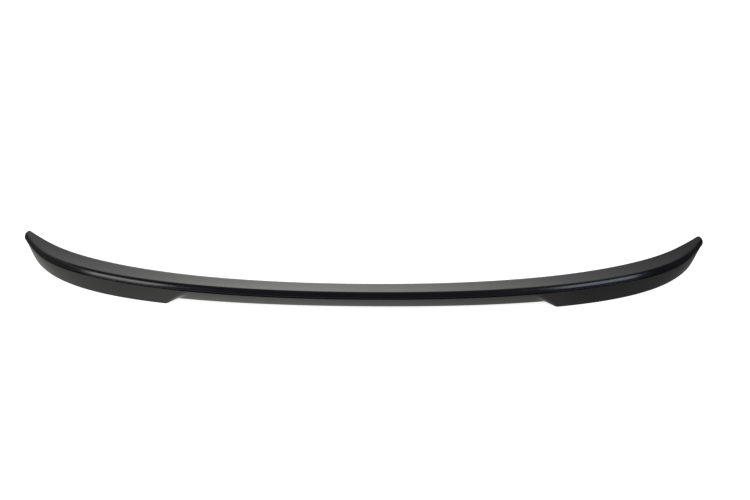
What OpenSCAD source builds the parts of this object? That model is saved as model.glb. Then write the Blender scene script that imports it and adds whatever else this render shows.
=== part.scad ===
// Rear lip spoiler for a car's boot lid, moulded as one hollow plastic shell.
// X runs across the car and the rear of the car is at negative Y. Z is up.
// The part rests on the lower edges of its two deep outer lobes, at z = 0.
// Its origin is the middle of the floor rectangle that it covers.
//
// A nose line runs along the back of the shell in plan. At each station along
// it one cross-section stands square to the line. In a section, u runs forward
// from the nose line and z runs up.

/* [Plan of the nose line] */
// Half of the span, out to the end of the nose line
half_span = 609; // [480:0.5:720]
// How far the ends come forward of the middle
sweep = 228.5; // [170:0.5:300]
// Distance in from the end to which the straight rear run is aimed
corner_run = 62; // [30:1:110]
// Direction of the nose line at its end, in degrees from the X axis
end_angle = 61; // [50:1:72]
// Length over which the end keeps that direction
end_handle = 105; // [70:1:135]

/* [Width of the wing, square to the nose line] */
// Width in the middle of the car
wing_middle = 61.2; // [45:0.1:75]
// Width that the wing swells towards over a lobe
wing_lobe = 78.1; // [55:0.1:95]
// Width that the wing narrows towards round the corner
wing_corner = 32.1; // [20:0.1:50]
// Width at the tip
wing_tip = 10.5; // [8:0.1:14]

/* [Heights] */
// Height of the ridge in the middle
ridge_z = 38.5; // [32:0.1:48]
// How much the ridge climbs towards the ends
ridge_rise = 8.8; // [4:0.1:14]
// How much the ridge drops again at the very tips
ridge_fall = 23.8; // [18:0.1:28]
// Height of the front edge in the middle
front_z = 22.7; // [18:0.1:27]
// How much the front edge climbs towards the ends
front_rise = 9.7; // [4:0.1:14]
// How much the front edge drops again at the very tips
front_fall = 4.9; // [0:0.1:8]
// Sag of the top face between the front edge and the ridge
top_sag = 0.3; // [0:0.1:2.5]

/* [Nose] */
// Horizontal depth of the nose, from the ridge back to the crease
nose_run = 6.5; // [4:0.1:9]
// Height of the nose, from the ridge down to the crease
nose_drop = 8.2; // [6:0.1:11]
// How far the nose is pushed out from a flat chamfer
nose_bulge = 1.4; // [0.5:0.1:2.5]
// The same at the tips
nose_bulge_tip = 0.8; // [0.3:0.1:1.5]
// Softness of the ridge in the middle
ridge_soft = 1.3; // [0.6:0.1:2.5]
// Softness of the ridge at the tips
ridge_soft_tip = 3.4; // [2:0.1:5]

/* [Groove between the nose and the lower face] */
// How far the groove runs in under the nose
groove_depth = 3.2; // [1.5:0.1:4]
// How far the roof of the groove drops on its way in
groove_roof = 2; // [0.8:0.1:3]
// How far the floor of the groove runs out again, to the lower face
groove_out = 2.3; // [1:0.1:3]
// How far the floor of the groove drops on its way out
groove_drop = 1.6; // [0.8:0.1:3]

/* [Lower face] */
// Height of the lower edge in the middle
band_z = 6.7; // [4:0.1:11]
// How far the lower edge is tucked forward in the middle
band_tuck = 12.5; // [8:0.1:15]
// How far the middle band is curled out
band_bulge = 1; // [0.2:0.1:2.5]
// How far the lower edge is tucked forward on the lobes
lobe_tuck = 2; // [1:0.1:4]
// How far the lobe face is curled out
lobe_bulge = 0.8; // [0:0.1:2]
// Distance from the middle to the upper corner of the slanted step
step_in = 313; // [250:1:340]
// Length of the slanted step along X
step_run = 18; // [10:1:40]
// Softness of the two corners of the step
step_soft = 3; // [1:0.5:4]
// How far the lobe face runs on past the step, along the crease
face_lead = 26; // [10:1:50]

/* [Shell] */
// Thickness of the wall
wall = 3; // [2:0.1:4]
// Thickness of the front edge
front_lip = 2; // [1.2:0.1:2.8]
// Wing width at which the hollow starts to close towards a tip
close_start = 36; // [30:1:45]
// Wing width at which the hollow is closed
close_end = 20; // [16:1:26]

/* [Tips] */
// Length of the nose line at a tip that has nearly no lower face
tip_nose_run = 11.6; // [10:0.1:25]
// Length of nose line over which the lower edge curves up to that
tip_lift_run = 71; // [45:1:90]
// Height of the lower face that is left at the tip
tip_face = 0.5; // [0.4:0.1:2]
// Length of the rounding that closes a tip
tip_round = 6.9; // [4:0.1:8]
// Share of its height that a tip loses to its rounding, from below
tip_squeeze = 0.87; // [0.5:0.01:0.92]
// Share of its width that a tip loses to its rounding
tip_pinch = 0.48; // [0.3:0.01:0.8]

/* [Hidden] */

plastic = "#1d1d1f";

// Powers by which the ridge and the front edge climb and then drop
rise_power = 2;
fall_power = 8;
// Wing width below which the nose shrinks with the wing
nose_fade = 20;
// Share of the half span at which the nose starts to change towards a tip
tip_from = 0.8;
// Share of the section's width at which a tip is pulled together
tip_side = 0.63;
// Share of a face that a softened corner may take up
soft_limit = 0.4;
// Rounding of the trimmed lower edge
edge_soft = 0.5;
// Share of the lower face that this rounding may take up
edge_limit = 0.1;
// How far the front edge is rounded out, as a share of its thickness
lip_round = 0.35;
// How soon the wall reaches its full thickness behind the front edge
lip_blend = 3;

// Stations along one half
middle_steps = 6;
lead_steps = 4;
lobe_steps = 24;
lift_steps = 6;
end_steps = 2;
tip_angles = [25, 50, 70, 90];

// Points along each face of a section
top_steps = [0.12, 0.35, 0.6, 0.85];
corner_steps = [0, 0.33, 0.67, 1];
nose_steps = [0.25, 0.5, 0.75];
face_steps = [0.2, 0.4, 0.6, 0.8];
inner_steps = [0.75, 0.5, 0.25];

step_out = step_in + step_run;
handle_rear = [half_span - corner_run, 0];
rail_end = [half_span, sweep];
handle_end = rail_end - end_handle * [cos(end_angle), sin(end_angle)];
// Length of nose line that one unit of t covers at the end
rail_speed = 3 * end_handle;

function mix(a, b, t) = a + (b - a) * t;
function limit(v) = min(1, max(0, v));
function ease(v) = let (w = limit(v)) w * w * (3 - 2 * w);
function curve3(a, b, c, t) = mix(mix(a, b, t), mix(b, c, t), t);
function curve4(a, b, c, d, t) = mix(curve3(a, b, c, t), curve3(b, c, d, t), t);
function unit(v) = v / norm(v);
// Quarter turns to the left and to the right of a direction
function left(v) = [-v.y, v.x];
function right(v) = [v.y, -v.x];

// Ramp from 0 to 1 between two places, with a parabola of half width s at each
function soft_knee(d, s) = d < -s ? 0 : d > s ? d : pow(d + s, 2) / (4 * s);
function soft_ramp(x, a, b, s) = (soft_knee(x - a, s) - soft_knee(x - b, s)) / (b - a);

// Nose line in plan for the half at positive X, with t from 0 to 1
function rail(t) = curve4([0, 0], handle_rear, handle_end, rail_end, t);
function rail_along(t) = unit(curve3(handle_rear, handle_end - handle_rear, rail_end - handle_end, t));
// Place along the nose line that has a given X, found by halving
function rail_at(x, low = 0, high = 1, turns = 26) =
    let (middle = (low + high) / 2)
    turns == 0 ? middle
    : rail(middle).x < x ? rail_at(x, middle, high, turns - 1)
    : rail_at(x, low, middle, turns - 1);

function wing(t) =
    mix(curve4(wing_middle, wing_middle, wing_lobe, wing_corner, t),
        curve4(wing_middle, wing_lobe, wing_corner, wing_tip, t), t);
function climb(q, rise, fall) = rise * pow(q, rise_power) - fall * pow(q, fall_power);
// Share of the lower edge's lift that is reached at t, from 0 to 1
function lifted(t) = pow(limit(1 - ((1 - t) * rail_speed - tip_nose_run) / tip_lift_run), 2);

// Meeting point of two inner faces, a wall inside the corner p
function inner_corner(p, along_a, along_b, thick) =
    p + (along_a + along_b) * thick / abs(cross(along_a, along_b));
// A row of points moved by the share c towards even places on the line a to b
function flatten(row, a, b, c) =
    [for (i = [0:len(row) - 1]) mix(row[i], mix(a, b, (i + 1) / (len(row) + 1)), c)];

// One closed cross-section as points [u, z], from the front edge over the
// ridge and the nose, down the lower face and back through the hollow
function section(t) =
    let (
        x = rail(t).x,
        q = x / half_span,
        w = wing(t),
        nose_share = min(1, w / nose_fade),
        front = [w, front_z + climb(q, front_rise, front_fall)],
        ridge = [nose_run * nose_share, ridge_z + climb(q, ridge_rise, ridge_fall)],
        crease = [0, ridge.y - nose_drop],
        sag = [0, -2 * top_sag * ease(w / wing_middle)],
        top_mid = (front + ridge) / 2 + sag,
        to_front = unit(top_mid - ridge),
        to_crease = unit(crease - ridge),
        at_tip = ease((q - tip_from) / (1 - tip_from)),
        bulge = mix(nose_bulge, nose_bulge_tip, at_tip),
        nose_mid = (ridge + crease) / 2 + bulge * nose_share * right(to_crease),
        to_nose = unit(nose_mid - ridge),
        soft = min(mix(ridge_soft, ridge_soft_tip, at_tip), soft_limit * norm(front - ridge)),
        under = crease + nose_share * [groove_depth, -groove_roof],
        shoulder = under + nose_share * [-groove_out, -groove_drop],
        band_end = [band_tuck, band_z],
        lobe_end = [lobe_tuck * nose_share, (shoulder.y - tip_face) * lifted(t)],
        band_mid = (shoulder + band_end) / 2 + band_bulge * right(unit(band_end - shoulder)),
        lobe_mid = (shoulder + lobe_end) / 2 + lobe_bulge * nose_share * right(unit(lobe_end - shoulder)),
        face = function (f)
            let (share = soft_ramp(x + face_lead * (1 - f), step_in, step_out, step_soft))
            mix(curve3(shoulder, band_mid, band_end, f), curve3(shoulder, lobe_mid, lobe_end, f), share),
        foot = face(1),
        edge_share = min(edge_limit, edge_soft / norm(foot - shoulder)),
        lip_down = right(unit(front - top_mid)),
        lip_in = front + front_lip * lip_down,
        lip_mid = (front + lip_in) / 2 + front_lip * lip_round * unit(front - top_mid),
        foot_in = [foot.x + wall * nose_share, foot.y],
        closed = 1 - ease((w - close_end) / (close_start - close_end)),
        hollow = concat(
            [for (f = inner_steps) face(f) + [wall, 0]],
            [under + [wall, 0]],
            [inner_corner(ridge, to_front, to_crease, wall)],
            [for (s = inner_steps)
                curve3(front, top_mid, ridge, s) + lip_down * mix(front_lip, wall, limit(lip_blend * s))]
        ),
        ridge_a = ridge + soft * to_front,
        ridge_b = ridge + soft * to_nose
    )
    concat(
        [front],
        [for (s = top_steps) curve3(front, top_mid, ridge_a, s)],
        [for (s = corner_steps) curve3(ridge_a, ridge, ridge_b, s)],
        [for (s = nose_steps) curve3(ridge_b, nose_mid, crease, s)],
        [crease, under, shoulder],
        [for (f = face_steps) face(f)],
        [face(1 - edge_share), foot + [edge_soft * nose_share, 0]],
        [foot_in],
        flatten(hollow, foot_in, lip_in, closed),
        [lip_in, lip_mid]
    );

// The section pulled up towards the line of its top face, and in from both
// sides, to round a tip
function tip_section(t, turn) =
    let (
        ring = section(t),
        front = ring[0],
        ridge = ring[1 + len(top_steps)],
        rise = (front.y - ridge.y) / (front.x - ridge.x),
        low = min([for (p = ring) p.x]),
        high = max([for (p = ring) p.x]),
        centre = mix(low, high, tip_side),
        pull = 1 - cos(turn)
    )
    [for (p = ring)
        let (
            u = mix(centre, p.x, 1 - tip_pinch * pull),
            depth = ridge.y + rise * (p.x - ridge.x) - p.y
        )
        [u, ridge.y + rise * (u - ridge.x) - depth * (1 - tip_squeeze * pull)]];

// A ring of points in space, for the half at positive X
function ring_at(t, turn) =
    let (
        base = rail(t),
        inward = left(rail_along(t))
    )
    [for (p = tip_section(t, turn)) [base.x + inward.x * p.x, base.y + inward.y * p.x, p.y]];

// Stations of one half as [t, turn], where turn goes from 0 to 90 round a tip
lead_from = step_in - face_lead - step_soft;
lobe_from_t = rail_at(step_out + step_soft);
lift_from_t = 1 - (tip_lift_run + tip_nose_run) / rail_speed;
lift_to_t = 1 - tip_nose_run / rail_speed;
round_from_t = 1 - tip_round / rail_speed;
knee = step_soft / 3;
stations = concat(
    [for (i = [1:middle_steps]) [rail_at(lead_from * i / middle_steps), 0]],
    [for (i = [1:lead_steps]) [rail_at(mix(lead_from, step_in - step_soft, i / lead_steps)), 0]],
    [for (x = [step_in - knee, step_in + knee, step_in + step_soft]) [rail_at(x), 0]],
    [for (x = [step_out - step_soft, step_out - knee, step_out + knee]) [rail_at(x), 0]],
    [for (i = [0:lobe_steps]) [mix(lobe_from_t, lift_from_t, i / lobe_steps), 0]],
    [for (i = [1:lift_steps]) [mix(lift_from_t, lift_to_t, i / lift_steps), 0]],
    [for (i = [1:end_steps]) [mix(lift_to_t, round_from_t, i / end_steps), 0]],
    [for (a = tip_angles) [1 - tip_round * (1 - sin(a)) / rail_speed, a]]
);

right_rings = [for (s = stations) ring_at(s[0], s[1])];
last = len(right_rings) - 1;
left_rings = [for (i = [last:-1:0]) [for (p = right_rings[i]) [-p.x, p.y, p.z]]];
rings = concat(left_rings, [ring_at(0, 0)], right_rings);
ring_size = len(rings[0]);
ring_count = len(rings);

function middle_of(ring) =
    let (total = [for (p = ring) 1] * ring)
    total / len(ring);

corners = [for (ring = rings) each ring];
left_cap = len(corners);
right_cap = left_cap + 1;
points = concat(corners, [middle_of(rings[0]), middle_of(rings[ring_count - 1])]);

side_faces = [
    for (i = [0:ring_count - 2], j = [0:ring_size - 1])
        let (
            a = i * ring_size + j,
            b = i * ring_size + (j + 1) % ring_size,
            c = b + ring_size,
            d = a + ring_size
        )
        each i < last + 1 ? [[a, d, c], [a, c, b]] : [[a, d, b], [b, d, c]]
];
cap_faces = [
    for (j = [0:ring_size - 1])
        let (
            k = (j + 1) % ring_size,
            far = (ring_count - 1) * ring_size
        )
        each [[left_cap, j, k], [right_cap, far + k, far + j]]
];

rear_y = min([for (p = corners) p.y]);
fore_y = max([for (p = corners) p.y]);

module spoiler_shell() {
    color(plastic)
        translate([0, -(rear_y + fore_y) / 2, 0])
            polyhedron(points = points, faces = concat(side_faces, cap_faces), convexity = 8);
}

spoiler_shell();
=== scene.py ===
# %% [markdown]
# # A rear lip spoiler in satin black plastic
# The object is a long crescent that is bonded to the rear edge of a car's boot
# lid. It is one moulding, so this scene has one piece, one frame body called
# root, and no joints. The frame is loaded first.

# %% Load the frame
from math import cos, pi, radians, sin
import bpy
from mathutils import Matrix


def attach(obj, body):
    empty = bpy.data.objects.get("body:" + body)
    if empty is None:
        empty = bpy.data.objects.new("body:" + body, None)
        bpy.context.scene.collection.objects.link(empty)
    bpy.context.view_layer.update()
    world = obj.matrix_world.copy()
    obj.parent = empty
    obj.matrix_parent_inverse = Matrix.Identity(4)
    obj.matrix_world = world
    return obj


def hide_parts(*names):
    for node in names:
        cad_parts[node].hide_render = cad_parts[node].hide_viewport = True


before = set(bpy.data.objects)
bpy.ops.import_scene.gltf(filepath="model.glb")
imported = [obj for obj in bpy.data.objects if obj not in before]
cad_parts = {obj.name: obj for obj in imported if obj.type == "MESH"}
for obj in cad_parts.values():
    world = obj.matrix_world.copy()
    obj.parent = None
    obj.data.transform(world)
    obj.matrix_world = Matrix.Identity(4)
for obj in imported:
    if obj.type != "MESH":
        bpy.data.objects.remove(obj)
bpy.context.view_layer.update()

from types import SimpleNamespace

import bpy
import numpy as np
from mathutils import Matrix, Vector

# %% [markdown]
# ## The camera
# The photograph looks down on the spoiler from behind the car, from about 30
# degrees above, with a long lens. The camera could be placed by eye. These
# values come from a fit to the four long lines of the shell instead: the front
# edge, the ridge, the crease and the lower edge. The camera turns about a point
# in the middle of the shell, and aims a little to the right of it and above it,
# which puts the spoiler where it is in the photograph without any lens shift.

# %% Set up the camera
mm = 0.001
view_azimuth = radians(1.005)
view_elevation = radians(30)
view_roll = radians(0.234)
view_distance = 3.0
turning_point = Vector((0, -25.5, 20)) * mm
aim_right = 22.5 * mm
aim_up = 45.2 * mm
lens_mm = 83.65


def camera_axes(azimuth, elevation):
    """Right, up and backward directions of a camera that looks at the object."""
    back = Vector((sin(azimuth) * cos(elevation), -cos(azimuth) * cos(elevation), sin(elevation)))
    right = Vector((cos(azimuth), sin(azimuth), 0))
    return right, back.cross(right), back


right, up, back = camera_axes(view_azimuth, view_elevation)
camera_place = turning_point + back * view_distance
aim_point = turning_point + right * aim_right + up * aim_up
camera_data = bpy.data.cameras.new("photo_camera")
camera_data.lens = lens_mm
camera = bpy.data.objects.new("photo_camera", camera_data)
bpy.context.scene.collection.objects.link(camera)
look = (camera_place - aim_point).to_track_quat("Z", "Y").to_matrix()
turned = look @ Matrix.Rotation(view_roll, 3, "Z")
camera.matrix_world = Matrix.Translation(camera_place) @ turned.to_4x4()
bpy.context.scene.camera = camera
print("camera at", [round(v, 3) for v in camera_place])

# %% [markdown]
# ## The nose line
# In plan the back of the shell follows one smooth line: nearly straight behind
# the boot lid, then round the corner and forward to a tip. Straight pieces and
# arcs could draw it, but their joins would show as kinks in the gloss. One
# Bezier curve with four points has no joins. It draws the right half, and the
# left half is its mirror image.

# %% Helpers for curves


def mix(a, b, share):
    return a + (b - a) * share


def ease(value):
    """A smooth step from 0 to 1."""
    held = min(1, max(0, value))
    return held * held * (3 - 2 * held)


def bezier(points, t):
    """A point on a Bezier curve with any number of control points."""
    points = [np.asarray(p, float) for p in points]
    while len(points) > 1:
        points = [mix(a, b, t) for a, b in zip(points, points[1:])]
    return points[0]


def unit(v):
    return v / np.linalg.norm(v)


def turn_left(v):
    return np.array([-v[1], v[0]])


def turn_right(v):
    return np.array([v[1], -v[0]])


print("halfway through a smooth step:", ease(0.5))

# %% Draw the nose line
half_span = 609 * mm
sweep = 228.5 * mm
corner_run = 62 * mm
end_angle = radians(61)
end_handle = 105 * mm
rail_points = np.array([
    [0, 0],
    [half_span - corner_run, 0],
    [half_span - end_handle * cos(end_angle), sweep - end_handle * sin(end_angle)],
    [half_span, sweep],
])
rail_speed = 3 * end_handle  # a curve of four points leaves its end at three times the last handle
halvings = 30


def rail_at(x):
    """The place along the nose line that has a given X, found by halving."""
    low, high = 0.0, 1.0
    for _ in range(halvings):
        middle = (low + high) / 2
        if bezier(rail_points, middle)[0] < x:
            low = middle
        else:
            high = middle
    return (low + high) / 2


print("nose line from", bezier(rail_points, 0), "to", bezier(rail_points, 1))

# %% [markdown]
# ## Sizes along the line
# The wing is widest over the lobes and narrows to the tips, and the ridge rises
# towards the corners and drops again at the very ends. Sections could be drawn
# one by one at many places. Here each size is a short formula of the place on
# the line instead, so any number of sections can be cut and they always flow
# into each other. The values are the ones that the solid was built from.

# %% Widths and heights along the line
wing_widths = np.array([61.2, 61.2, 78.1, 32.1, 10.5]) * mm
ridge_heights = {"middle": 38.5 * mm, "rise": 8.8 * mm, "fall": 23.8 * mm}
front_heights = {"middle": 22.7 * mm, "rise": 9.7 * mm, "fall": 4.9 * mm}
rise_power, fall_power = 2, 8


def climb(share, heights):
    """A height that rises gently towards the ends and drops at the very tips."""
    rise, fall = heights["rise"] * share ** rise_power, heights["fall"] * share ** fall_power
    return heights["middle"] + rise - fall


print("wing width at the tip:", round(bezier(wing_widths, 1) / mm, 1), "mm")
print("ridge height at the tip:", round(climb(1, ridge_heights) / mm, 1), "mm")

# %% [markdown]
# Between two deep lobes the lower face is only a shallow band, which curls
# forward and stops clear of the table. A slanted step joins the band to each
# lobe. The step could be a cut across the face, but the real one is blended, so
# the face changes from band to lobe over a ramp with soft corners.

# %% The step between the band and a lobe
step_in = 313 * mm
step_out = step_in + 18 * mm
step_soft = 3 * mm
face_lead = 26 * mm


def soft_knee(distance, half):
    """0 before a corner and the distance after it, with a rounded change."""
    if distance < -half:
        return 0.0
    if distance > half:
        return distance
    return (distance + half) ** 2 / (4 * half)


def step_share(x):
    """0 over the middle band, 1 over a lobe, and a ramp with soft corners between."""
    ramp = soft_knee(x - step_in, step_soft) - soft_knee(x - step_out, step_soft)
    return ramp / (step_out - step_in)


print("share of the lobe halfway up the step:", round(step_share((step_in + step_out) / 2), 3))

# %% [markdown]
# ## One cross-section
# A section stands square to the nose line. Its u runs forward from the line and
# its z runs up. From the front edge back, the moulding has a gently hollow top
# face, a soft ridge and a rounded nose that leans back and ends in a sharp
# crease. Under the crease a shallow groove runs forward, and from its shoulder
# the lower face hangs down to the foot. A section could be traced point by
# point, but a traced line is never quite smooth. Each face here is a Bezier
# curve with three points, and each corner is softened with another one, so the
# faces meet with no kink and catch the light as one surface. Towards a tip the
# nose shrinks with the width of the wing, and the foot lifts.

# %% Corners of a section
top_sag = 0.3 * mm
nose_run = 6.5 * mm
nose_drop = 8.2 * mm
nose_bulges = {"middle": 1.4 * mm, "tip": 0.8 * mm}
nose_fade = 20 * mm
ridge_soft = {"middle": 1.3 * mm, "tip": 3.4 * mm}
ridge_soft_limit = 0.4
groove_depth = 3.2 * mm
groove_roof = 2 * mm
groove_out = 2.3 * mm
groove_drop = 1.6 * mm
band = {"height": 6.7 * mm, "tuck": 12.5 * mm, "bulge": 1 * mm}
lobe = {"tuck": 2 * mm, "bulge": 0.8 * mm}
tip_from = 0.8
tip_face = 0.5 * mm
tip_lift_run = 71 * mm
tip_nose_run = 11.6 * mm


def face_curve(start, end, bulge):
    """The three control points of a lower face that hangs from the groove."""
    end = np.array(end)
    middle = (start + end) / 2 + bulge * turn_right(unit(end - start))
    return start, middle, end


def section_corners(t):
    """The corners of one section as [u, z], and the shares that shape it."""
    cut = SimpleNamespace(x=bezier(rail_points, t)[0], width=bezier(wing_widths, t))
    share = cut.x / half_span
    at_tip = ease((share - tip_from) / (1 - tip_from))
    cut.small = min(1, cut.width / nose_fade)
    cut.front = np.array([cut.width, climb(share, front_heights)])
    cut.ridge = np.array([nose_run * cut.small, climb(share, ridge_heights)])
    cut.crease = np.array([0, cut.ridge[1] - nose_drop])
    cut.under = cut.crease + cut.small * np.array([groove_depth, -groove_roof])
    cut.shoulder = cut.under + cut.small * np.array([-groove_out, -groove_drop])
    sag = np.array([0, -2 * top_sag * ease(cut.width / wing_widths[0])])
    cut.top_middle = (cut.front + cut.ridge) / 2 + sag
    cut.to_front, cut.lean = unit(cut.top_middle - cut.ridge), unit(cut.crease - cut.ridge)
    bulge = mix(nose_bulges["middle"], nose_bulges["tip"], at_tip)
    cut.nose_middle = (cut.ridge + cut.crease) / 2 + bulge * cut.small * turn_right(cut.lean)
    soft = mix(ridge_soft["middle"], ridge_soft["tip"], at_tip)
    soft = min(soft, ridge_soft_limit * np.linalg.norm(cut.front - cut.ridge))
    cut.ridge_front = cut.ridge + soft * cut.to_front
    cut.ridge_back = cut.ridge + soft * unit(cut.nose_middle - cut.ridge)
    near = min(1, max(0, 1 - ((1 - t) * rail_speed - tip_nose_run) / tip_lift_run))
    lobe_end = [lobe["tuck"] * cut.small, (cut.shoulder[1] - tip_face) * near ** 2]
    cut.band_face = face_curve(cut.shoulder, [band["tuck"], band["height"]], band["bulge"])
    cut.lobe_face = face_curve(cut.shoulder, lobe_end, lobe["bulge"] * cut.small)
    return cut


def face_at(cut, f):
    """A point on the lower face, from its shoulder at 0 to its foot at 1."""
    lobe_share = step_share(cut.x + face_lead * (1 - f))
    return mix(bezier(cut.band_face, f), bezier(cut.lobe_face, f), lobe_share)


middle_cut = section_corners(0)
print("ridge in the middle:", np.round(middle_cut.ridge / mm, 1), "mm")
print("foot in the middle:", np.round(face_at(middle_cut, 1) / mm, 1), "mm")

# %% [markdown]
# The corners are joined in one path. First come the faces that show, from the
# front edge back over the ridge and down to the foot. Points could be spread
# evenly along them, but the ridge and the crease turn within a millimetre or
# two, so each corner gets points of its own.

# %% Points on the outside of a section
outer_counts = {"top": 14, "ridge": 10, "nose": 12, "crease": 4, "under": 4, "shoulder": 4,
                "face": 14, "foot": 4}
crease_soft = 0.12 * mm
shoulder_soft = 0.15 * mm
foot_soft = 0.7 * mm
groove_corner, shoulder_corner = 0.2, 0.3
face_end, foot_from = 0.96, 0.975
clear_of_corner = 3
even = np.linspace


def soft_corner(before, corner, after, count):
    return [bezier([before, corner, after], s) for s in even(0, 1, count)]


def outer_path(cut):
    """The visible faces as [u, z], from the front edge back over the ridge to the foot."""
    top = [cut.front, cut.top_middle, cut.ridge_front]
    nose = [cut.ridge_back, cut.nose_middle, cut.crease]
    nose_end = 1 - crease_soft / np.linalg.norm(cut.crease - cut.ridge)
    nose_steps = [*even(0, nose_end, outer_counts["nose"])[1:-1], 2 * nose_end - 1]
    roof_start = mix(cut.crease, cut.under, groove_corner)
    roof_end = mix(cut.crease, cut.under, 1 - groove_corner)
    slope_start = mix(cut.under, cut.shoulder, shoulder_corner)
    slope_step = shoulder_soft * cut.small * unit(cut.under - cut.shoulder)
    foot = face_at(cut, 1)
    foot_inside = foot + np.array([foot_soft * cut.small, 0])
    face_start = shoulder_soft / np.linalg.norm(foot - cut.shoulder)
    path = [bezier(top, s) for s in even(0, 1, outer_counts["top"])][:-1]
    path += soft_corner(cut.ridge_front, cut.ridge, cut.ridge_back, outer_counts["ridge"])
    path += [bezier(nose, s) for s in nose_steps]
    path += soft_corner(bezier(nose, nose_end), cut.crease, roof_start, outer_counts["crease"])
    path += soft_corner(roof_end, cut.under, slope_start, outer_counts["under"])
    path += [cut.shoulder + clear_of_corner * slope_step]
    path += soft_corner(cut.shoulder + slope_step, cut.shoulder, face_at(cut, face_start),
                        outer_counts["shoulder"])
    face_from = clear_of_corner * face_start
    path += [face_at(cut, f) for f in even(face_from, face_end, outer_counts["face"])]
    path += soft_corner(face_at(cut, foot_from), foot, foot_inside, outer_counts["foot"])
    return path


print("outside of the middle section:", len(outer_path(middle_cut)), "points")

# %% [markdown]
# The hollow side follows the outside at the thickness of the wall, thins to the
# front edge, and closes up where a tip gets too narrow to be hollow. A Solidify
# modifier could make it from the outside alone, but it would push the faces
# through each other in the narrow tips. So the hollow side gets its own points,
# from the same corners.

# %% Points on the hollow side
inner_counts = {"face": 6, "corner": 5, "top": 8, "lip": 5}
wall = 3 * mm
front_lip = 2 * mm
lip_round = 0.55
close_start = 36 * mm
close_end = 20 * mm
highest_face, corner_below, corner_in_front = 0.05, 0.45, 0.3
roof_corner, roof_back, roof_front, full_wall_by = 0.75, 0.8, 0.06, 1 / 3


def inner_path(cut):
    """The hollow side as [u, z], from the foot up and forward to the front edge."""
    down = turn_right(unit(cut.front - cut.top_middle))
    foot_in = face_at(cut, 1) + np.array([wall * cut.small, 0])
    lip_in = cut.front + front_lip * down
    wall_in = np.array([wall, 0])
    bend = abs(np.cross(cut.to_front, cut.lean))
    corner = cut.ridge + (cut.to_front + cut.lean) * wall / bend
    below = mix(corner, cut.under + wall_in, corner_below)

    def roof(s):
        thick = mix(front_lip, wall, min(1, s / full_wall_by))
        return bezier([cut.front, cut.top_middle, cut.ridge], s) + down * thick

    in_front = mix(corner, roof(roof_corner), corner_in_front)
    path = [face_at(cut, f) + wall_in for f in even(1, highest_face, inner_counts["face"])][1:]
    path += [cut.under + wall_in]
    path += soft_corner(below, corner, in_front, inner_counts["corner"])
    path += [roof(s) for s in even(roof_back, roof_front, inner_counts["top"])]
    closed = 1 - ease((cut.width - close_end) / (close_start - close_end))
    places = [(i + 1) / (len(path) + 1) for i in range(len(path))]
    path = [mix(p, mix(foot_in, lip_in, place), closed) for p, place in zip(path, places)]
    lip_middle = (cut.front + lip_in) / 2 + front_lip * lip_round * unit(cut.front - cut.top_middle)
    lip = soft_corner(lip_in, lip_middle, cut.front, inner_counts["lip"] + 2)[:-1]
    return [foot_in] + path + lip


print("hollow side of the middle section:", len(inner_path(middle_cut)), "points")

# %% [markdown]
# ## The tips
# Each end closes in a small, rounded tip. Over the last centimetres the foot
# lifts until the lower face has faded into the groove. Then the last sections
# are pressed up towards the line of the top face and drawn in from both sides,
# by the cosine of an angle that goes from 0 to 90 degrees. A round cap could be
# set on the end instead, but it would break the flat top face, which on the
# real part runs right out to the tip.

# %% Round a section near a tip and put it in its place
tip_round = 6.9 * mm
tip_squeeze = 0.87
tip_pinch = 0.48
tip_side = 0.63


def tip_section(t, angle):
    """A closed section of [u, z] points, drawn together where the angle isn't 0."""
    cut = section_corners(t)
    ring = np.array(outer_path(cut) + inner_path(cut))
    pull = 1 - cos(angle)
    front, ridge = ring[0], ring[outer_counts["top"] - 1]
    slope = (front[1] - ridge[1]) / (front[0] - ridge[0])
    depth = ridge[1] + slope * (ring[:, 0] - ridge[0]) - ring[:, 1]
    centre = mix(ring[:, 0].min(), ring[:, 0].max(), tip_side)
    ring[:, 0] = mix(centre, ring[:, 0], 1 - tip_pinch * pull)
    ring[:, 1] = ridge[1] + slope * (ring[:, 0] - ridge[0]) - depth * (1 - tip_squeeze * pull)
    return ring


def ring_at(t, angle):
    """One section put in its place, square to the nose line."""
    section = tip_section(t, angle)
    along = unit(bezier(np.diff(rail_points, axis=0), t))
    flat = bezier(rail_points, t) + section[:, :1] * turn_left(along)
    return np.column_stack([flat, section[:, 1]])


print("last section spans", np.round(np.ptp(ring_at(1, pi / 2), axis=0) / mm, 1), "mm")

# %% [markdown]
# ## The shell as one mesh
# A loft joins the sections with four-sided faces. A box with modifiers could be
# bent to this form too, but a loft puts each edge exactly where the section has
# it. The sections lie close together at the step and round the corners, where
# the surface turns fast, and wider apart behind the boot lid. The right half is
# worked out, and the left half takes the same points with X turned round. The
# mesh is finer than the solid of the frame and has the same form, so it stands
# for that solid.

# %% Choose the stations
middle_count, lead_count, step_count = 34, 16, 26
lobe_count, lift_count, round_count = 96, 24, 12
step_margin = 1 * mm
lead_from = step_in - face_lead - step_soft
step_from = step_in - step_soft - step_margin
step_to = step_out + step_soft + step_margin
lift_from = 1 - (tip_lift_run + tip_nose_run) / rail_speed
round_from = 1 - tip_round / rail_speed
places = [*even(0, lead_from, middle_count)[1:], *even(lead_from, step_from, lead_count)[1:],
          *even(step_from, step_to, step_count)[1:]]
stations = [(rail_at(x), 0) for x in places]
stations += [(t, 0) for t in even(rail_at(step_to), lift_from, lobe_count)[1:]]
stations += [(t, 0) for t in even(lift_from, round_from, lift_count)[1:]]
stations += [(1 - tip_round * (1 - sin(a)) / rail_speed, a)
             for a in even(0, pi / 2, round_count)[1:]]

right_rings = [ring_at(t, angle) for t, angle in stations]
left_rings = [ring * np.array([-1, 1, 1]) for ring in reversed(right_rings)]
rings = left_rings + [ring_at(0, 0)] + right_rings
print(len(rings), "sections of", len(rings[0]), "points")

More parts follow.
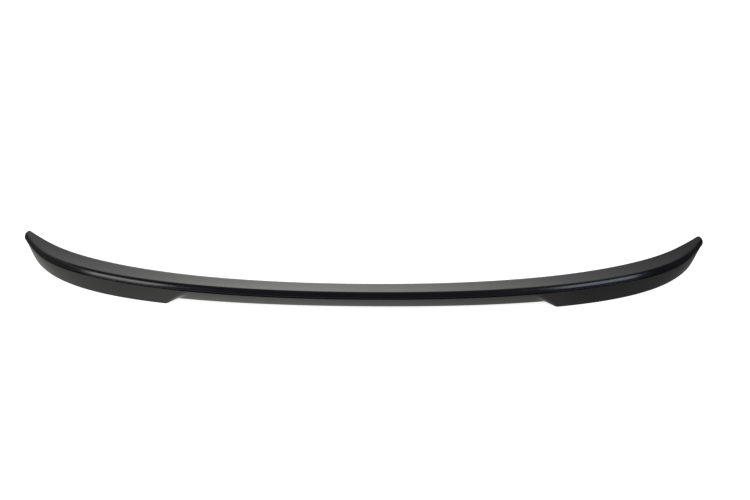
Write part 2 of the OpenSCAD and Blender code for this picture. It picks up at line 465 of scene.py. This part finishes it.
# %% Build the mesh
lowest = min(ring[:, 1].min() for ring in rings)
highest = max(ring[:, 1].max() for ring in rings)
centring = np.array([0, -(lowest + highest) / 2, 0])
shell_points = np.concatenate(rings) + centring
ring_size = len(rings[0])
outer_count = len(outer_path(middle_cut))
sharp_from = radians(48)
faces, is_inside = [], []
for i in range(len(rings) - 1):
    for j in range(ring_size):
        k = (j + 1) % ring_size
        a, b = i * ring_size, (i + 1) * ring_size
        faces.append((a + j, b + j, b + k, a + k))
        is_inside.append(outer_count - 1 < j < ring_size - inner_counts["lip"] - 1)
for ring_index, turned_round in ((0, False), (len(rings) - 1, True)):
    centre = len(shell_points)
    shell_points = np.vstack([shell_points, (rings[ring_index] + centring).mean(axis=0)])
    for j in range(ring_size):
        a, b = ring_index * ring_size + j, ring_index * ring_size + (j + 1) % ring_size
        faces.append((centre, b, a) if turned_round else (centre, a, b))
        is_inside.append(False)

shell_mesh = bpy.data.meshes.new("spoiler_body")
shell_mesh.from_pydata(shell_points.tolist(), [], [tuple(reversed(face)) for face in faces])
shell_mesh.validate()
shell_mesh.shade_smooth()
shell_mesh.set_sharp_from_angle(angle=sharp_from)
spoiler = bpy.data.objects.new("spoiler_body", shell_mesh)
bpy.context.scene.collection.objects.link(spoiler)
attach(spoiler, "root")
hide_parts("spoiler_shell")
print("shell:", len(shell_mesh.vertices), "points and", len(shell_mesh.polygons), "faces")

# %% [markdown]
# ## The finish
# The real part is moulded in black plastic and left unpainted. Its face is
# satin: it has a very fine grain from the mould, and its gloss drifts a little
# from place to place as the plastic cooled. The hidden side is duller, because
# that half of the mould is not polished. A picture of plastic could be wrapped
# round the shell, but it would stretch at the tips. Noise in space doesn't, and
# as both finishes use it, the grain is a node group that is built once and
# placed in each material with its own values.

# %% Helpers for shader nodes


def new_material(name):
    material = bpy.data.materials.new(name)
    material.use_nodes = True
    return material, material.node_tree


def add_node(tree, kind, **settings):
    node = tree.nodes.new(kind)
    for key, value in settings.items():
        setattr(node, key, value)
    return node


def set_inputs(node, **values):
    for key, value in values.items():
        node.inputs[key.replace("_", " ")].default_value = value
    return node


def colour_mix(tree, factor, a, b):
    """A colour between a and b. Each is a plain colour or another node's output."""
    node = add_node(tree, "ShaderNodeMix", data_type="RGBA")
    tree.links.new(factor, node.inputs["Factor"])
    for socket, colour in (("A", a), ("B", b)):
        if isinstance(colour, tuple):
            node.inputs[socket].default_value = (*colour, 1)
        else:
            tree.links.new(colour, node.inputs[socket])
    return node.outputs["Result"]


print("materials before the finish:", [material.name for material in bpy.data.materials])

# %% The grain as a node group


def build_grain_group():
    """Pits and fine noise as a height, and a slow drift, at a given place."""
    tree = bpy.data.node_groups.new("moulded_grain", "ShaderNodeTree")
    socket = tree.interface.new_socket
    socket("Position", in_out="INPUT", socket_type="NodeSocketVector")
    for name, value in (("Grain per metre", 2600), ("Drift per metre", 28), ("Pits", 0.3)):
        socket(name, in_out="INPUT", socket_type="NodeSocketFloat").default_value = value
    for name in ("Height", "Drift"):
        socket(name, in_out="OUTPUT", socket_type="NodeSocketFloat")
    entry = add_node(tree, "NodeGroupInput")
    leave = add_node(tree, "NodeGroupOutput")
    grain = set_inputs(add_node(tree, "ShaderNodeTexNoise"), Detail=2.0, Roughness=0.6)
    cells = add_node(tree, "ShaderNodeTexVoronoi", feature="SMOOTH_F1")
    drift = set_inputs(add_node(tree, "ShaderNodeTexNoise"), Detail=4.0, Roughness=0.55)
    blend = add_node(tree, "ShaderNodeMix", data_type="FLOAT")
    link = tree.links.new
    for texture in (grain, cells, drift):
        link(entry.outputs["Position"], texture.inputs["Vector"])
    link(entry.outputs["Grain per metre"], grain.inputs["Scale"])
    link(entry.outputs["Grain per metre"], cells.inputs["Scale"])
    link(entry.outputs["Drift per metre"], drift.inputs["Scale"])
    link(entry.outputs["Pits"], blend.inputs["Factor"])
    link(grain.outputs["Fac"], blend.inputs["A"])
    link(cells.outputs["Distance"], blend.inputs["B"])
    link(blend.outputs["Result"], leave.inputs["Height"])
    link(drift.outputs["Fac"], leave.inputs["Drift"])
    return tree


grain_group = build_grain_group()
print("grain group:", len(grain_group.nodes), "nodes")

# %% [markdown]
# Each finish is a Principled BSDF with a nearly black colour. What tells them
# apart is gloss and grain: the face is smooth enough to draw the studio in soft
# shapes, and the inside scatters it. Dark paint with a clear coat could look
# alike from afar, but its two layers would give sharp lights that this plastic
# doesn't have.

# %% Two finishes of the same plastic
plastic_ior = 1.5
drift_low, drift_high = 0.3, 0.7


def black_plastic(name, dark, light, gloss_from, gloss_to, grain_depth, grain_per_metre, pits):
    """Black plastic whose colour and gloss drift between two values."""
    material, tree = new_material(name)
    link = tree.links.new
    shader = set_inputs(tree.nodes["Principled BSDF"], IOR=plastic_ior)
    place = add_node(tree, "ShaderNodeTexCoord")
    grain = add_node(tree, "ShaderNodeGroup", node_tree=grain_group)
    set_inputs(grain, Grain_per_metre=grain_per_metre, Pits=pits)
    link(place.outputs["Object"], grain.inputs["Position"])
    link(colour_mix(tree, grain.outputs["Drift"], dark, light), shader.inputs["Base Color"])
    gloss = set_inputs(add_node(tree, "ShaderNodeMapRange"), From_Min=drift_low,
                       From_Max=drift_high, To_Min=gloss_from, To_Max=gloss_to)
    link(grain.outputs["Drift"], gloss.inputs["Value"])
    link(gloss.outputs["Result"], shader.inputs["Roughness"])
    bump = set_inputs(add_node(tree, "ShaderNodeBump"), Strength=1.0, Distance=grain_depth)
    link(grain.outputs["Height"], bump.inputs["Height"])
    link(bump.outputs["Normal"], shader.inputs["Normal"])
    return material


face_plastic = black_plastic(
    "satin_black_face", dark=(0.006, 0.006, 0.0065), light=(0.008, 0.008, 0.0085),
    gloss_from=0.16, gloss_to=0.22, grain_depth=0.006 * mm, grain_per_metre=2600, pits=0.3)
inner_plastic = black_plastic(
    "dull_black_inside", dark=(0.011, 0.011, 0.0115), light=(0.017, 0.017, 0.0175),
    gloss_from=0.5, gloss_to=0.62, grain_depth=0.03 * mm, grain_per_metre=1400, pits=0.5)
shell_mesh.materials.append(face_plastic)
shell_mesh.materials.append(inner_plastic)
for polygon, inside in zip(shell_mesh.polygons, is_inside):
    polygon.material_index = int(inside)
print("faces with the inside finish:", sum(is_inside))

# %% [markdown]
# ## The studio
# The photograph was taken on a bright white table. Black plastic shows little of
# its own colour, so nearly all that the camera sees is what the surface mirrors.
# The top face mirrors a pale wall behind the table, the lower faces mirror the
# table right in front of them, and the nose mirrors the dark room behind the
# camera, with one soft box on each side of it that draws a stripe on each lobe.
# A picture of a studio could light the part too, but plain cards and lamps let
# each of these mirror images be set by itself.

# %% Helpers for the table and the walls


def flat_card(name, corners, material):
    mesh = bpy.data.meshes.new(name)
    mesh.from_pydata(corners, [], [(0, 1, 2, 3)])
    mesh.materials.append(material)
    card = bpy.data.objects.new(name, mesh)
    bpy.context.scene.collection.objects.link(card)
    return card


def axes_of(tree, kind):
    """X, Y and Z of a place on a card, or of a direction in the room."""
    axes = add_node(tree, "ShaderNodeSeparateXYZ")
    tree.links.new(add_node(tree, "ShaderNodeTexCoord").outputs[kind], axes.inputs[0])
    return axes.outputs


def soft_change(tree, value, start, end, low, high):
    """A value that changes softly from low to high between two places."""
    change = add_node(tree, "ShaderNodeMapRange", interpolation_type="SMOOTHSTEP")
    set_inputs(change, From_Min=start, From_Max=end, To_Min=low, To_Max=high)
    tree.links.new(value, change.inputs["Value"])
    return change.outputs["Result"]


def product(tree, a, b):
    node = add_node(tree, "ShaderNodeMath", operation="MULTIPLY")
    tree.links.new(a, node.inputs[0])
    tree.links.new(b, node.inputs[1])
    return node.outputs[0]


far_rise = dict(start=-0.72, end=-0.12, low=0.55, high=1.0)
far_fall = dict(start=-0.2, end=0.75, low=0.8, high=0.24)


def far_brightness(tree, across):
    """Brightness far behind the spoiler, which is highest a little left of the middle."""
    rise = soft_change(tree, across, **far_rise)
    return product(tree, rise, soft_change(tree, across, **far_fall))


# %% [markdown]
# The table has two jobs. The camera sees an even, pale surface with a faint
# shadow under the spoiler. The plastic mirrors its brightness, which is highest
# at the front left, lower in front of the two lobes, and falls off beyond the
# two tips. Two tables could do this. One table with a Light Path node, which
# tells the two jobs apart, keeps the shadow in its place. Seen from below the
# table is clear, so that it doesn't hide the underside. All of this belongs to
# the studio and none of it to the part.

# %% Brightness of the table, by the place on it in metres
near_fall = dict(start=-0.4, end=0.5, low=1.07, high=0.55)
before_left_lobe = dict(start=-0.42, end=-0.3, low=0.8, high=1.0)
before_right_lobe = dict(start=0.3, end=0.42, low=1.0, high=0.66)
near_to_far = dict(start=0.2, end=0.6, low=0.0, high=1.0)
beyond_tips = dict(start=0.54, end=0.66, low=1.0, high=0.12)


def table_glow(tree, axes):
    """The brightness that the plastic mirrors from each place on the table."""
    across = axes["X"]
    before_lobes = product(tree, soft_change(tree, across, **before_left_lobe),
                           soft_change(tree, across, **before_right_lobe))
    near = product(tree, soft_change(tree, across, **near_fall), before_lobes)
    depth = add_node(tree, "ShaderNodeMix", data_type="FLOAT")
    tree.links.new(soft_change(tree, axes["Y"], **near_to_far), depth.inputs["Factor"])
    tree.links.new(near, depth.inputs["A"])
    tree.links.new(far_brightness(tree, across), depth.inputs["B"])
    outward = add_node(tree, "ShaderNodeMath", operation="ABSOLUTE")
    tree.links.new(across, outward.inputs[0])
    beside = soft_change(tree, outward.outputs[0], **beyond_tips)
    return product(tree, depth.outputs["Result"], beside)


print("brightest in front of the left lobe:", round(near_fall["low"] * before_left_lobe["low"], 2))

# %% Table


def choose_shader(tree, choice, first, second):
    """The first shader where the choice is 0 and the second where it is 1."""
    node = add_node(tree, "ShaderNodeMixShader")
    for output, socket in ((choice, 0), (first, 1), (second, 2)):
        tree.links.new(output, node.inputs[socket])
    return node.outputs[0]


def table_material():
    material, tree = new_material("pale_table")
    shader = tree.nodes["Principled BSDF"]
    set_inputs(shader, Base_Color=(0.93, 0.93, 0.92, 1), Roughness=0.9, Specular_IOR_Level=0.2,
               Emission_Color=(1, 1, 1, 1), Emission_Strength=0.85)
    glow = set_inputs(add_node(tree, "ShaderNodeEmission"), Color=(1, 0.99, 0.96, 1))
    tree.links.new(table_glow(tree, axes_of(tree, "Object")), glow.inputs["Strength"])
    camera_ray = add_node(tree, "ShaderNodeLightPath").outputs["Is Camera Ray"]
    below = add_node(tree, "ShaderNodeNewGeometry").outputs["Backfacing"]
    clear = add_node(tree, "ShaderNodeBsdfTransparent").outputs[0]
    seen_above = choose_shader(tree, camera_ray, glow.outputs[0], shader.outputs[0])
    tree.links.new(choose_shader(tree, below, seen_above, clear),
                   tree.nodes["Material Output"].inputs["Surface"])
    return material


table_left, table_right, table_near, table_far = -4, 4, -1.1, 4
table = flat_card("studio_table", [(table_left, table_near, 0), (table_right, table_near, 0),
                                   (table_right, table_far, 0), (table_left, table_far, 0)],
                  table_material())
print("table:", [round(v, 1) for v in table.dimensions], "m")

# %% [markdown]
# The pale wall stands behind the table, and a dim one stands on the left, which
# the left tip mirrors. Lamps could light plain walls, but their light would
# also fall on the table. These cards glow by themselves, and brighter towards
# the top. The camera doesn't see them, so they hide nothing when the part is
# looked at from behind or from the left.

# %% Walls that only the plastic sees
wall_upward = dict(start=0.6, end=1.4, low=1.0, high=1.7)
side_upward = dict(start=0.8, end=1.6, low=0.17, high=0.5)


def wall_glow(tree, axes):
    upward = soft_change(tree, axes["Z"], **wall_upward)
    return product(tree, far_brightness(tree, axes["X"]), upward)


def side_glow(tree, axes):
    return soft_change(tree, axes["Z"], **side_upward)


def glowing_material(name, colour, strength):
    """A surface that gives light by itself, as strongly as the place on it says."""
    material, tree = new_material(name)
    glow = set_inputs(add_node(tree, "ShaderNodeEmission"), Color=(*colour, 1))
    tree.links.new(strength(tree, axes_of(tree, "Object")), glow.inputs["Strength"])
    tree.links.new(glow.outputs[0], tree.nodes["Material Output"].inputs["Surface"])
    return material


def standing_card(name, start, end, top, material):
    """A wall on the table from one place to another, hidden from the camera."""
    card = flat_card(name, [(*start, 0), (*end, 0), (*end, top), (*start, top)], material)
    card.visible_camera = False
    print(name, [round(v, 1) for v in card.dimensions], "m")


wall_y, wall_half, wall_top = 1.9, 2.6, 2.0
side_x, side_near, side_top = -2.6, -1.2, 1.9
standing_card("studio_wall", (-wall_half, wall_y), (wall_half, wall_y), wall_top,
              glowing_material("pale_wall", (1, 1, 0.99), wall_glow))
standing_card("studio_side", (side_x, side_near), (side_x, wall_y), side_top,
              glowing_material("dim_side", (1, 1, 1), side_glow))

# %% [markdown]
# Two soft boxes stand left and right of the camera. Each of them is mirrored as
# a long stripe in the nose over one lobe, and the right one is a little bluer.
# The stripes could be painted on the plastic, but then they would stay in place
# when the part is turned. Each lamp is placed by the angles under which it is
# seen from the lobe that mirrors it.

# %% Two soft boxes


def soft_box(name, facing, azimuth, elevation, tilt, distance, width, height, brightness, colour):
    """An area lamp that faces a place on the spoiler, seen from there by its angles."""
    direction = camera_axes(radians(azimuth), radians(elevation))[2]
    lamp_data = bpy.data.lights.new(name, "AREA")
    lamp_data.shape = "RECTANGLE"
    lamp_data.size, lamp_data.size_y = width, height
    lamp_data.energy, lamp_data.color = brightness * pi * width * height, colour
    lamp = bpy.data.objects.new(name, lamp_data)
    lamp.location = Vector(facing) + direction * distance
    tilted = Matrix.Rotation(radians(tilt), 3, "Z")
    lamp.rotation_euler = (direction.to_track_quat("Z", "Y").to_matrix() @ tilted).to_euler()
    bpy.context.scene.collection.objects.link(lamp)
    print(name, "at", [round(v, 2) for v in lamp.location])


soft_box(
    "left_box", facing=(-0.42, -0.06, 0.03), azimuth=-47.2, elevation=30.3, tilt=10, distance=2.2,
    width=1.32, height=0.8, brightness=4.3, colour=(1, 0.99, 0.98))
soft_box(
    "right_box", facing=(0.42, -0.06, 0.03), azimuth=48, elevation=38, tilt=-18, distance=2.2,
    width=1.32, height=0.98, brightness=3.5, colour=(0.78, 0.86, 1))

# %% [markdown]
# ## The room
# Behind the camera the room is dark and faintly violet, so most of the nose
# stays black, and towards the sides it is a plain dark grey. Overhead and above
# the wall it is brighter, like a pale ceiling, which gives the wing a soft sheen
# when it is seen from above or from the front. One colour could fill the room,
# but the wing would then look flat from every other side. Beyond the edge of the
# table a Light Path node shows plain white paper to the camera.

# %% The room
room_behind, room_beside = (0.095, 0.08, 0.145), (0.08, 0.08, 0.088)
room_ceiling, white_paper = (0.42, 0.42, 0.42), (1, 1, 1)
ceiling_lean = 0.35
behind_to_beside = dict(start=-0.75, end=-0.25, low=0.0, high=1.0)
room_to_ceiling = dict(start=0.76, end=0.98, low=0.0, high=1.0)


def room_light():
    world = bpy.data.worlds.new("dim_room")
    world.use_nodes = True
    tree = world.node_tree
    axes = axes_of(tree, "Generated")
    upward = add_node(tree, "ShaderNodeMath", operation="MULTIPLY_ADD")
    tree.links.new(axes["Y"], upward.inputs[0])
    upward.inputs[1].default_value = ceiling_lean
    tree.links.new(axes["Z"], upward.inputs[2])
    to_side = soft_change(tree, axes["Y"], **behind_to_beside)
    to_ceiling = soft_change(tree, upward.outputs[0], **room_to_ceiling)
    camera_ray = add_node(tree, "ShaderNodeLightPath").outputs["Is Camera Ray"]
    room = colour_mix(tree, to_side, room_behind, room_beside)
    room = colour_mix(tree, to_ceiling, room, room_ceiling)
    tree.links.new(colour_mix(tree, camera_ray, room, white_paper),
                   tree.nodes["Background"].inputs["Color"])
    return world


bpy.context.scene.world = room_light()
bpy.context.scene.view_settings.view_transform = "Standard"
print("room:", len(bpy.context.scene.world.node_tree.nodes), "nodes")
